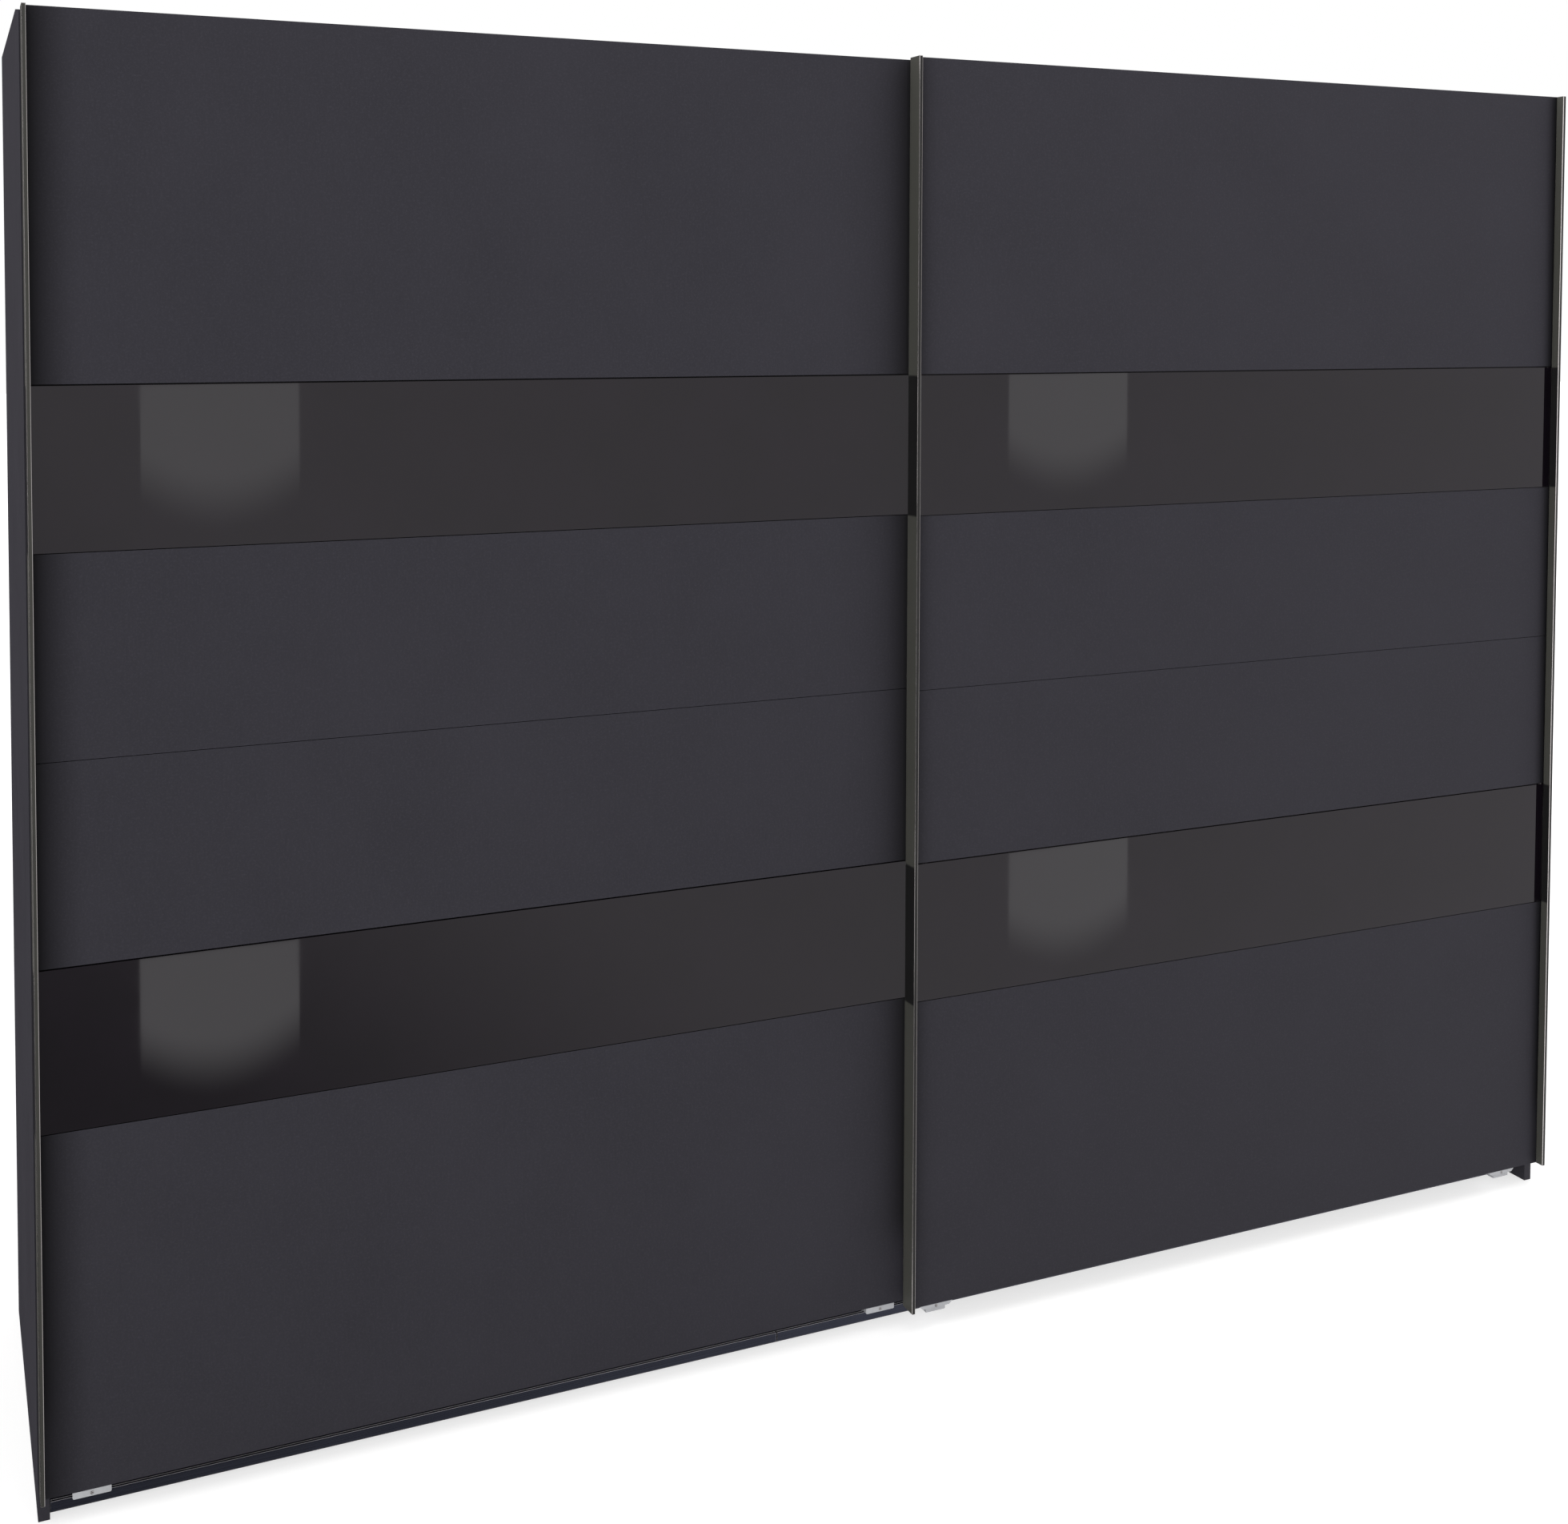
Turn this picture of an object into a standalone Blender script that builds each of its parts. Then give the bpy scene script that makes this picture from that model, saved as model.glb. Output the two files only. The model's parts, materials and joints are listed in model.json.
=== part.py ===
"""Sliding door wardrobe: a two-bay carcass with two hanging doors that pass in front of it.

Metres, +Z up. X runs along the wardrobe, -Y is the front, the floor is Z = 0 and the origin is
under the middle of the whole wardrobe.
"""
import math

import bmesh
import bpy
from mathutils import Vector

# ---------------------------------------------------------------- overall size
WIDTH = 2.700
HEIGHT = 2.058
DEPTH = 0.620
HALF_WIDTH = WIDTH / 2
FRONT = -DEPTH / 2
BACK = DEPTH / 2
GAP = 0.0003
CUT_PAST = 0.01

# ---------------------------------------------------------------- carcass boards
BOARD = 0.0157
SIDE_INNER = HALF_WIDTH - BOARD
BAY_OUTER = SIDE_INNER - GAP
LEFT_SIDE_FRONT = -0.248
RIGHT_SIDE_FRONT = -0.277
CORNER_RUN = 0.085
CORNER_DROP = 0.014
TOP_PANEL_TOP = 2.000
TOP_PANEL_UNDER = TOP_PANEL_TOP - BOARD
TOP_PANEL_FRONT = -0.246
PLINTH_HEIGHT = 0.0277
PLINTH_FRONT = -0.2333
REAR_PLINTH_FRONT = 0.268
BOTTOM_UNDER = PLINTH_HEIGHT + GAP
BOTTOM_TOP = BOTTOM_UNDER + BOARD
BOTTOM_OVERHANG = 0.0002
BOTTOM_FRONT = PLINTH_FRONT - BOTTOM_OVERHANG
PARTITION_HALF = BOARD / 2
BAY_INNER = PARTITION_HALF + GAP

# ---------------------------------------------------------------- back wall
REBATE_WIDTH = 0.008
BACK_PANEL = 0.003
STRIP_FLANGE = 0.0012
STRIP_WIDTH = 0.016
STRIP_WEB = 0.0014
BACK_PANEL_REAR = BACK - STRIP_FLANGE - GAP
BACK_PANEL_FRONT = BACK_PANEL_REAR - BACK_PANEL
BOARD_BACK = BACK_PANEL_FRONT - GAP
BACK_JOINT_X = 0.671
BACK_EDGE_X = SIDE_INNER + REBATE_WIDTH - GAP

# ---------------------------------------------------------------- inside fittings
SHELF_UNDER = 1.700
SHELF_FRONT = -0.200
SHELF_BACK = 0.303
TUBE_HALF_HEIGHT = 0.015
TUBE_HALF_WIDTH = 0.0075
TUBE_WALL = 0.001
TUBE_Y = 0.030
TUBE_Z = 1.640
HOLDER_LENGTH = 0.012
HOLDER_BASE = 0.0025
HOLDER_WALL = 0.005

# ---------------------------------------------------------------- doors
FIN = 0.0155
DOOR_STEP = 0.0245
LEAF = 0.008
FRONT_DOOR_FACE = FRONT + FIN
REAR_DOOR_FACE = FRONT_DOOR_FACE + DOOR_STEP
DOOR_OUTER_X = HALF_WIDTH - 0.0018
DOOR_OVERLAP_HALF = 0.022
REAR_DOOR_LOW = 0.0435
REAR_DOOR_HIGH = 2.0470
FRONT_DOOR_LOW = 0.0415
FRONT_DOOR_HIGH = 2.0485
SEAM_Z = 1.0455
SEAM_GAP = 0.0008
BAND_NEAR = 0.280
BAND_FAR = 0.5025
GLASS = 0.0037
GLASS_POCKET = 0.004
SHADOW_GAP = 0.002
LOWER_GAP = 0.001
RAIL_WIDTH = 0.0058
RAIL_DEPTH = 0.0295
RAIL_GROOVE = 0.003
STRIP_LIP = 0.0010
STRIP_DEPTH = 0.0130

# ---------------------------------------------------------------- running gear at the top
TRACK_LOW = TOP_PANEL_TOP + GAP
TRACK_WEB = 0.0025
TRACK_FRONT = -0.246
TRACK_BACK = -0.165
RIDGE_TOP = 2.012
RIDGE_HALF = 0.0015
REAR_RIDGE_Y = -0.232
FRONT_RIDGE_Y = -0.181
WHEEL_GROOVE_R = 0.009
WHEEL_FLANGE_R = 0.011
WHEEL_HALF = 0.004
WHEEL_BORE_R = 0.0021
WHEEL_CHAMFER = 0.0005
GROOVE_CLEAR = 0.0004
GROOVE_FLARE = 0.0009
WHEEL_Z = RIDGE_TOP + WHEEL_GROOVE_R + GAP
WHEEL_STEPS = 28
AXLE_R = 0.002
AXLE_HEAD_R = 0.0038
AXLE_COLLAR_R = 0.0032
AXLE_HEAD = 0.0012
AXLE_STEPS = 16
HOLE_STEPS = 16
HANGER_WIDTH = 0.040
HANGER_NEAR_X = 0.110
HANGER_FAR_X = 1.220
TAB_LOW = 2.0125
REAR_HANGER_STEEL = 0.002
REAR_HANGER_LOW = 1.965
REAR_HANGER_TOP = 2.037
REAR_TAB_OFFSET = 0.0095
FRONT_HANGER_STEEL = 0.0015
FRONT_HANGER_LOW = 1.975
FRONT_HANGER_TOP = 2.049
FRONT_TAB_OFFSET = -0.0070
TRAVEL = 1.310
STOP_LENGTH = 0.015
STOP_HALF = 0.0055
STOP_TOP = 2.030
STOP_CLEAR = 0.0005

# ---------------------------------------------------------------- guides at the bottom
GUIDE_RAIL_FRONT = -0.248
GUIDE_RAIL_BACK = PLINTH_FRONT - GAP
GUIDE_RAIL_LOW = 0.0103
GUIDE_RAIL_HIGH = 0.0245
GUIDE_RAIL_WEB = 0.0015
LIP = 0.0012
LIP_PITCH = 0.0044
GUIDE_RAIL_JOINT_X = -0.2327
GUIDE_RAIL_JOINT = 0.0016
TONGUE = 0.0016
TONGUE_LOW = 0.0135
GUIDE_ARM_WIDTH = 0.036
GUIDE_ARM_DROP = 0.002
REAR_GUIDE_MIDDLES = (-1.2807, -0.0577)
REAR_GUIDE_WIDTH = 0.0510
REAR_GUIDE_HEIGHT = 0.0090
REAR_GUIDE_CORNER = 0.002
REAR_GUIDE_BITE = 0.001
FRONT_GUIDE_MIDDLES = (0.0318, 1.2560)
FRONT_GUIDE_TOP_HALF = 0.0310
FRONT_GUIDE_LOW_HALF = 0.0245
FRONT_GUIDE_HEIGHT = 0.0057
FRONT_GUIDE_BITE = 0.0005
FRONT_ARM_START = 0.002
FRONT_ARM_HIGH = 0.0332
FRONT_ARM_LOW = 0.0285


# ---------------------------------------------------------------- finishes
def finish(name, colour, roughness, metallic=0.0):
    """A Principled finish of one colour."""
    material = bpy.data.materials.new(name)
    material.use_nodes = True
    shader = material.node_tree.nodes["Principled BSDF"]
    shader.inputs["Base Color"].default_value = (*colour, 1.0)
    shader.inputs["Roughness"].default_value = roughness
    shader.inputs["Metallic"].default_value = metallic
    material.diffuse_color = (*colour, 1.0)
    return material


def make_finishes():
    """All the finishes, by name."""
    return {
        "decor": finish("graphite_decor", (0.046, 0.044, 0.053), 0.55),
        "glass": finish("black_glass", (0.014, 0.013, 0.014), 0.06),
        "aluminium": finish("dark_aluminium", (0.23, 0.225, 0.22), 0.35, 1.0),
        "fibreboard": finish("fibreboard", (0.085, 0.08, 0.08), 0.75),
        "steel": finish("zinc_steel", (0.56, 0.56, 0.55), 0.35, 1.0),
        "chrome": finish("chrome_tube", (0.72, 0.72, 0.72), 0.15, 1.0),
        "plastic": finish("grey_plastic", (0.56, 0.56, 0.55), 0.45),
        "nylon": finish("black_nylon", (0.03, 0.03, 0.03), 0.4),
    }


# ---------------------------------------------------------------- shared shapes
def clear_scene():
    """Empties the file of objects."""
    for item in list(bpy.data.objects):
        bpy.data.objects.remove(item, do_unlink=True)


def new_collection(name):
    """A collection in the scene."""
    collection = bpy.data.collections.new(name)
    bpy.context.scene.collection.children.link(collection)
    return collection


class Builder:
    """Holds the collections and finishes, and adds parts to them."""

    def __init__(self):
        self.parts = new_collection("sliding_door_wardrobe")
        self.cutters = new_collection("cutters")
        self.finishes = make_finishes()

    def anchor(self, name, location):
        """An empty that carries the pieces of one assembly."""
        empty = bpy.data.objects.new(name, None)
        empty.empty_display_size = 0.1
        empty.location = location
        self.parts.objects.link(empty)
        return empty

    def add(self, name, mesh, finish_name, parent, location, rotation=(0.0, 0.0, 0.0)):
        """Makes a part from a mesh whose own origin goes to a world location."""
        mesh.name = name
        mesh.materials.clear()
        mesh.materials.append(self.finishes[finish_name])
        part = bpy.data.objects.new(name, mesh)
        part.parent = parent
        part.location = Vector(location) - parent.location
        part.rotation_euler = rotation
        self.parts.objects.link(part)
        return part

    def board(self, name, low, high, finish_name, parent):
        """A square-edged board between two opposite corners."""
        low = Vector(low)
        high = Vector(high)
        return self.add(name, box_mesh(high - low), finish_name, parent, (low + high) / 2)

    def cut(self, part, mesh, location, rotation=(0.0, 0.0, 0.0)):
        """Cuts a mesh out of a part."""
        cutter = bpy.data.objects.new(part.name + "_cutter", mesh)
        cutter.location = location
        cutter.rotation_euler = rotation
        cutter.hide_render = True
        cutter.display_type = "WIRE"
        self.cutters.objects.link(cutter)
        add_boolean(part, cutter, "DIFFERENCE")

    def cut_box(self, part, low, high):
        """Cuts a box between two opposite corners out of a part."""
        low = Vector(low)
        high = Vector(high)
        self.cut(part, box_mesh(high - low), (low + high) / 2)

    def join(self, part, mesh, location, rotation=(0.0, 0.0, 0.0)):
        """Makes a mesh one body with a part."""
        added = bpy.data.objects.new(part.name + "_added", mesh)
        added.location = location
        added.rotation_euler = rotation
        added.hide_render = True
        added.display_type = "WIRE"
        self.cutters.objects.link(added)
        add_boolean(part, added, "UNION")


def add_boolean(part, other, operation):
    """Adds an exact Boolean between two objects."""
    modifier = part.modifiers.new(operation.title(), "BOOLEAN")
    modifier.operation = operation
    modifier.solver = "EXACT"
    modifier.object = other


def box_mesh(size):
    """A box of the given size about its own middle."""
    mesh = bpy.data.meshes.new("box")
    bm = bmesh.new()
    bmesh.ops.create_cube(bm, size=1.0)
    bmesh.ops.scale(bm, vec=size, verts=bm.verts)
    bm.to_mesh(mesh)
    bm.free()
    return mesh


def outline_mesh(outlines, length):
    """Closed flat outlines drawn out along Z, half of the length to each side."""
    curve = bpy.data.curves.new("outline", "CURVE")
    curve.dimensions = "2D"
    curve.fill_mode = "BOTH"
    curve.extrude = length / 2
    for outline in outlines:
        spline = curve.splines.new("POLY")
        spline.points.add(len(outline) - 1)
        for point, (across, up) in zip(spline.points, outline):
            point.co = (across, up, 0.0, 1.0)
        spline.use_cyclic_u = True
    holder = bpy.data.objects.new("outline", curve)
    bpy.context.scene.collection.objects.link(holder)
    evaluated = holder.evaluated_get(bpy.context.evaluated_depsgraph_get())
    mesh = bpy.data.meshes.new_from_object(evaluated)
    bpy.data.objects.remove(holder, do_unlink=True)
    bm = bmesh.new()
    bm.from_mesh(mesh)
    bmesh.ops.remove_doubles(bm, verts=bm.verts, dist=0.00001)
    bmesh.ops.recalc_face_normals(bm, faces=bm.faces)
    bm.to_mesh(mesh)
    bm.free()
    return mesh


def rectangle(low, high):
    """The corners of a rectangle."""
    return [(low[0], low[1]), (high[0], low[1]), (high[0], high[1]), (low[0], high[1])]


def arc(centre, radius, start, end, steps):
    """Points along an arc, angles in degrees."""
    points = []
    for step in range(steps + 1):
        angle = math.radians(start + (end - start) * step / steps)
        points.append((centre[0] + radius * math.cos(angle), centre[1] + radius * math.sin(angle)))
    return points


def upright_oval(half_width, half_height, steps=8):
    """An oval with straight sides and round ends above and below."""
    rise = half_height - half_width
    return arc((0, rise), half_width, 0, 180, steps) + arc((0, -rise), half_width, 180, 360, steps)


def comb_outline(front, back, low, high, web, teeth):
    """A flat base with upright lips, seen along its length; teeth are (front, back) pairs."""
    points = [(front, low), (back, low), (back, low + web)]
    for tooth_front, tooth_back in reversed(teeth):
        points += [(tooth_back, low + web), (tooth_back, high)]
        points += [(tooth_front, high), (tooth_front, low + web)]
    points.append((front, low + web))
    return drop_repeats(points)


def drop_repeats(points):
    """Leaves out corners that fall on the one before them or on a straight run."""
    kept = []
    for index, point in enumerate(points):
        before = Vector(points[index - 1])
        after = Vector(points[(index + 1) % len(points)])
        here = Vector(point)
        arriving = here - before
        leaving = after - here
        if arriving.length < 1e-7:
            continue
        turn = arriving.x * leaving.y - arriving.y * leaving.x
        if abs(turn) > 1e-12 or leaving.length < 1e-7:
            kept.append(point)
    return kept


# Turns a flat outline so that it is drawn out along X, with its own X along +Y and its Y along +Z.
ALONG_X = (math.radians(90), 0.0, math.radians(90))
# Turns a flat outline so that it is drawn out along Y, with its own X along +X and its Y along +Z.
ALONG_Y = (math.radians(90), 0.0, 0.0)


def turned(part, steps):
    """Turns a profile about its own Z axis into a round piece."""
    screw = part.modifiers.new("Screw", "SCREW")
    screw.axis = "Z"
    screw.steps = steps
    screw.render_steps = steps
    screw.use_merge_vertices = True
    screw.merge_threshold = 0.00001
    screw.use_smooth_shade = True
    return part


def profile_mesh(points, closed):
    """A profile in the XZ plane as a chain of edges; points are (radius, height)."""
    mesh = bpy.data.meshes.new("profile")
    bm = bmesh.new()
    verts = [bm.verts.new((radius, 0.0, height)) for radius, height in points]
    for first, second in zip(verts, verts[1:]):
        bm.edges.new((first, second))
    if closed:
        bm.edges.new((verts[-1], verts[0]))
    bm.to_mesh(mesh)
    bm.free()
    return mesh


# ---------------------------------------------------------------- carcass
def make_side_panel(build, carcass, name, side, front):
    """A side panel with a rebate for the back wall and a sloped top front corner."""
    outer = side * HALF_WIDTH
    inner = side * SIDE_INNER
    low = (min(outer, inner), front, 0.0)
    high = (max(outer, inner), BACK, HEIGHT)
    panel = build.board(name, low, high, "decor", carcass)
    rebate = side * (SIDE_INNER + REBATE_WIDTH)
    past = side * (SIDE_INNER - CUT_PAST)
    cut_low = (min(rebate, past), BOARD_BACK, -CUT_PAST)
    cut_high = (max(rebate, past), BACK + CUT_PAST, HEIGHT + CUT_PAST)
    build.cut_box(panel, cut_low, cut_high)
    rise = CUT_PAST * CORNER_DROP / CORNER_RUN
    start = front - CUT_PAST
    wedge = [
        (start, HEIGHT - CORNER_DROP - rise),
        (front + CORNER_RUN + CUT_PAST, HEIGHT + rise),
        (start, HEIGHT + rise),
    ]
    middle = (outer + inner) / 2
    build.cut(panel, outline_mesh([wedge], BOARD + 2 * CUT_PAST), (middle, 0.0, 0.0), ALONG_X)


def make_partition(build, carcass):
    """The partition between the bays, cut away below for the two plinths."""
    low = (-PARTITION_HALF, BOTTOM_FRONT, 0.0)
    high = (PARTITION_HALF, BOARD_BACK, TOP_PANEL_UNDER - GAP)
    panel = build.board("centre_partition", low, high, "decor", carcass)
    notches = [
        (BOTTOM_FRONT - CUT_PAST, PLINTH_FRONT + BOARD + GAP),
        (REAR_PLINTH_FRONT - GAP, REAR_PLINTH_FRONT + BOARD + GAP),
    ]
    for notch_front, notch_back in notches:
        cut_high = (BOARD, notch_back, PLINTH_HEIGHT + GAP)
        build.cut_box(panel, (-BOARD, notch_front, -CUT_PAST), cut_high)


def make_bay_boards(build, carcass, word, side):
    """The top, bottom, front plinth and hat shelf of one bay."""
    boards = [
        ("top_panel", GAP / 2, TOP_PANEL_FRONT, BOARD_BACK, TOP_PANEL_UNDER, TOP_PANEL_TOP),
        ("bottom_panel", BAY_INNER, BOTTOM_FRONT, BOARD_BACK, BOTTOM_UNDER, BOTTOM_TOP),
        ("plinth_front", GAP / 2, PLINTH_FRONT, PLINTH_FRONT + BOARD, 0.0, PLINTH_HEIGHT),
        ("hat_shelf", BAY_INNER, SHELF_FRONT, SHELF_BACK, SHELF_UNDER, SHELF_UNDER + BOARD),
    ]
    for name, inner, front, back, under, top in boards:
        ends = sorted((side * inner, side * BAY_OUTER))
        low = (ends[0], front, under)
        high = (ends[1], back, top)
        build.board(name + "_" + word, low, high, "decor", carcass)


def make_back_wall(build, carcass):
    """Four thin back panels, joined by a strip in each bay and butted at the partition."""
    joint = STRIP_WEB / 2 + GAP
    edges = [-BACK_EDGE_X, -BACK_JOINT_X, 0.0, BACK_JOINT_X, BACK_EDGE_X]
    insets = [0.0, joint, GAP / 2, joint, 0.0]
    for index in range(4):
        low = (edges[index] + insets[index], BACK_PANEL_FRONT, BOTTOM_UNDER)
        high = (edges[index + 1] - insets[index + 1], BACK_PANEL_REAR, TOP_PANEL_TOP)
        build.board("back_panel_%d" % (index + 1), low, high, "fibreboard", carcass)
    low = BOTTOM_TOP + GAP
    high = TOP_PANEL_UNDER - GAP
    flange = STRIP_WIDTH / 2
    web = STRIP_WEB / 2
    front = BACK_PANEL_FRONT - GAP
    rear = BACK_PANEL_REAR + GAP
    outline = [
        (-flange, front - STRIP_FLANGE), (flange, front - STRIP_FLANGE), (flange, front),
        (web, front), (web, rear), (flange, rear), (flange, rear + STRIP_FLANGE),
        (-flange, rear + STRIP_FLANGE), (-flange, rear), (-web, rear), (-web, front), (-flange, front),
    ]
    for word, side in (("left", -1), ("right", 1)):
        mesh = outline_mesh([outline], high - low)
        place = (side * BACK_JOINT_X, 0.0, (low + high) / 2)
        build.add("back_joint_strip_" + word, mesh, "nylon", carcass, place)


def make_clothes_rail(build, carcass, word, side):
    """An oval tube held in an open cup at each end."""
    tube_outer = BAY_OUTER - HOLDER_BASE - GAP
    tube_inner = BAY_INNER + HOLDER_BASE + GAP
    outlines = [
        upright_oval(TUBE_HALF_WIDTH, TUBE_HALF_HEIGHT),
        upright_oval(TUBE_HALF_WIDTH - TUBE_WALL, TUBE_HALF_HEIGHT - TUBE_WALL),
    ]
    mesh = outline_mesh(outlines, tube_outer - tube_inner)
    place = (side * (tube_outer + tube_inner) / 2, TUBE_Y, TUBE_Z)
    build.add("clothes_rail_" + word, mesh, "chrome", carcass, place, ALONG_X)
    ends = (("outer", BAY_OUTER, -1), ("inner", BAY_INNER, 1))
    for end_word, wall, inward in ends:
        name = "rail_holder_%s_%s" % (word, end_word)
        make_holder(build, carcass, name, side * wall, side * inward)


def make_holder(build, carcass, name, wall, inward):
    """A cup, open at the top, that a clothes rail drops into."""
    pocket_half = TUBE_HALF_WIDTH + GAP
    outer_half = pocket_half + HOLDER_WALL
    rise = TUBE_HALF_HEIGHT - TUBE_HALF_WIDTH
    top = TUBE_HALF_HEIGHT + GAP
    body = arc((0, -rise), outer_half, 180, 360, 10) + [(outer_half, top), (-outer_half, top)]
    pocket = arc((0, -rise), pocket_half, 180, 360, 10)
    pocket += [(pocket_half, top + CUT_PAST), (-pocket_half, top + CUT_PAST)]
    middle = wall + inward * HOLDER_LENGTH / 2
    mesh = outline_mesh([body], HOLDER_LENGTH)
    holder = build.add(name, mesh, "nylon", carcass, (middle, TUBE_Y, TUBE_Z), ALONG_X)
    pocket_middle = wall + inward * (HOLDER_BASE + HOLDER_LENGTH / 2)
    build.cut(holder, outline_mesh([pocket], HOLDER_LENGTH), (pocket_middle, TUBE_Y, TUBE_Z), ALONG_X)


def make_track(build, carcass):
    """The double running track on the top panels, with a stop at each end of both ridges."""
    teeth = [(y - RIDGE_HALF, y + RIDGE_HALF) for y in (REAR_RIDGE_Y, FRONT_RIDGE_Y)]
    outline = comb_outline(TRACK_FRONT, TRACK_BACK, TRACK_LOW, RIDGE_TOP, TRACK_WEB, teeth)
    mesh = outline_mesh([outline], 2 * BAY_OUTER)
    build.add("top_track", mesh, "aluminium", carcass, (0.0, 0.0, 0.0), ALONG_X)
    reach = WHEEL_FLANGE_R + STOP_CLEAR
    stops = [
        ("rear_left", REAR_RIDGE_Y, -HANGER_FAR_X - reach, -1),
        ("rear_right", REAR_RIDGE_Y, -HANGER_NEAR_X + TRAVEL + reach, 1),
        ("front_left", FRONT_RIDGE_Y, HANGER_NEAR_X - TRAVEL - reach, -1),
        ("front_right", FRONT_RIDGE_Y, HANGER_FAR_X + reach, 1),
    ]
    slot = RIDGE_HALF + GAP
    low = TRACK_LOW + TRACK_WEB + GAP
    for word, ridge, face, outward in stops:
        outline = [
            (-STOP_HALF, low), (-slot, low), (-slot, RIDGE_TOP + GAP), (slot, RIDGE_TOP + GAP),
            (slot, low), (STOP_HALF, low), (STOP_HALF, STOP_TOP), (-STOP_HALF, STOP_TOP),
        ]
        mesh = outline_mesh([outline], STOP_LENGTH)
        place = (face + outward * STOP_LENGTH / 2, ridge, 0.0)
        build.add("track_stop_" + word, mesh, "nylon", carcass, place, ALONG_X)


def make_guide_rails(build, carcass):
    """The two-groove guide rail along the plinth, in a long and a short length."""
    fronts = [GUIDE_RAIL_FRONT + LIP_PITCH * index for index in range(3)]
    teeth = [(front, front + LIP) for front in fronts]
    teeth.append((GUIDE_RAIL_BACK - LIP, GUIDE_RAIL_BACK))
    outline = comb_outline(
        GUIDE_RAIL_FRONT, GUIDE_RAIL_BACK, GUIDE_RAIL_LOW, GUIDE_RAIL_HIGH, GUIDE_RAIL_WEB, teeth
    )
    joint = GUIDE_RAIL_JOINT / 2
    lengths = [
        ("guide_rail_left", -BAY_OUTER, GUIDE_RAIL_JOINT_X - joint),
        ("guide_rail_right", GUIDE_RAIL_JOINT_X + joint, BAY_OUTER),
    ]
    for name, start, end in lengths:
        mesh = outline_mesh([outline], end - start)
        place = ((start + end) / 2, 0.0, 0.0)
        build.add(name, mesh, "aluminium", carcass, place, ALONG_X)


def groove_middle(index):
    """The middle of the guide rail's front (0) or rear (1) groove."""
    return GUIDE_RAIL_FRONT + LIP_PITCH * index + (LIP + LIP_PITCH) / 2


def make_carcass(build):
    """Everything that stands still."""
    carcass = build.anchor("carcass", (0.0, 0.0, 0.0))
    make_side_panel(build, carcass, "side_panel_left", -1, LEFT_SIDE_FRONT)
    make_side_panel(build, carcass, "side_panel_right", 1, RIGHT_SIDE_FRONT)
    make_partition(build, carcass)
    for word, side in (("left", -1), ("right", 1)):
        make_bay_boards(build, carcass, word, side)
        make_clothes_rail(build, carcass, word, side)
    low = (-BAY_OUTER, REAR_PLINTH_FRONT, 0.0)
    high = (BAY_OUTER, REAR_PLINTH_FRONT + BOARD, PLINTH_HEIGHT)
    build.board("plinth_rear", low, high, "decor", carcass)
    make_back_wall(build, carcass)
    make_track(build, carcass)
    make_guide_rails(build, carcass)


# ---------------------------------------------------------------- doors
def make_leaves(build, door, word, face, ends, low, high):
    """The two leaves of a door, each with a glass band set into a pocket in its face."""
    edge = RAIL_WIDTH - RAIL_GROOVE + GAP
    left = ends[0] + edge
    right = ends[1] - edge
    spans = {
        "upper": (SEAM_Z + SEAM_GAP / 2, high, SEAM_Z + BAND_NEAR, SEAM_Z + BAND_FAR),
        "lower": (low, SEAM_Z - SEAM_GAP / 2, SEAM_Z - BAND_FAR, SEAM_Z - BAND_NEAR),
    }
    for level, (under, top, glass_low, glass_high) in spans.items():
        leaf_name = "%s_leaf_%s" % (word, level)
        leaf = build.board(leaf_name, (left, face, under), (right, face + LEAF, top), "decor", door)
        pocket_low = (left - CUT_PAST, face - CUT_PAST, glass_low - LOWER_GAP)
        pocket_high = (right + CUT_PAST, face + GLASS_POCKET, glass_high + SHADOW_GAP)
        build.cut_box(leaf, pocket_low, pocket_high)
        glass_name = "%s_glass_%s" % (word, level)
        glass_front = (left, face, glass_low)
        build.board(glass_name, glass_front, (right, face + GLASS, glass_high), "glass", door)


def make_upright(build, door, name, outer, inward, face, levels, finned):
    """An upright along a door's edge with a groove for the leaves; a finned one is the handle."""
    front = -FIN if finned else -STRIP_LIP - GAP
    back = RAIL_DEPTH - FIN if finned else STRIP_DEPTH - STRIP_LIP - GAP
    inner = inward * RAIL_WIDTH
    floor = inward * (RAIL_WIDTH - RAIL_GROOVE)
    outline = [
        (0.0, front), (inner, front), (inner, -GAP), (floor, -GAP),
        (floor, LEAF + GAP), (inner, LEAF + GAP), (inner, back), (0.0, back),
    ]
    low, high = levels
    mesh = outline_mesh([outline], high - low)
    build.add(name, mesh, "aluminium", door, (outer, face, (low + high) / 2))


def make_hanger(build, door, name, x, path, thickness):
    """A bent steel hanger: leg on the leaf, arm over the top, tab down to the wheel."""
    leg, tab, leg_low, arm_top = path
    toward = 1 if tab > leg else -1
    leg_inner = leg + toward * thickness
    tab_inner = tab - toward * thickness
    under = arm_top - thickness
    outline = [
        (leg, leg_low), (leg_inner, leg_low), (leg_inner, under), (tab_inner, under),
        (tab_inner, TAB_LOW), (tab, TAB_LOW), (tab, arm_top), (leg, arm_top),
    ]
    mesh = outline_mesh([outline], HANGER_WIDTH)
    hanger = build.add(name, mesh, "steel", door, (x, 0.0, 0.0), ALONG_X)
    last = 360 - 360 / HOLE_STEPS
    hole = arc((0, 0), AXLE_R + GAP, 0, last, HOLE_STEPS - 1)
    build.cut(hanger, outline_mesh([hole], 2 * CUT_PAST), (x, tab, WHEEL_Z), ALONG_Y)


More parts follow.
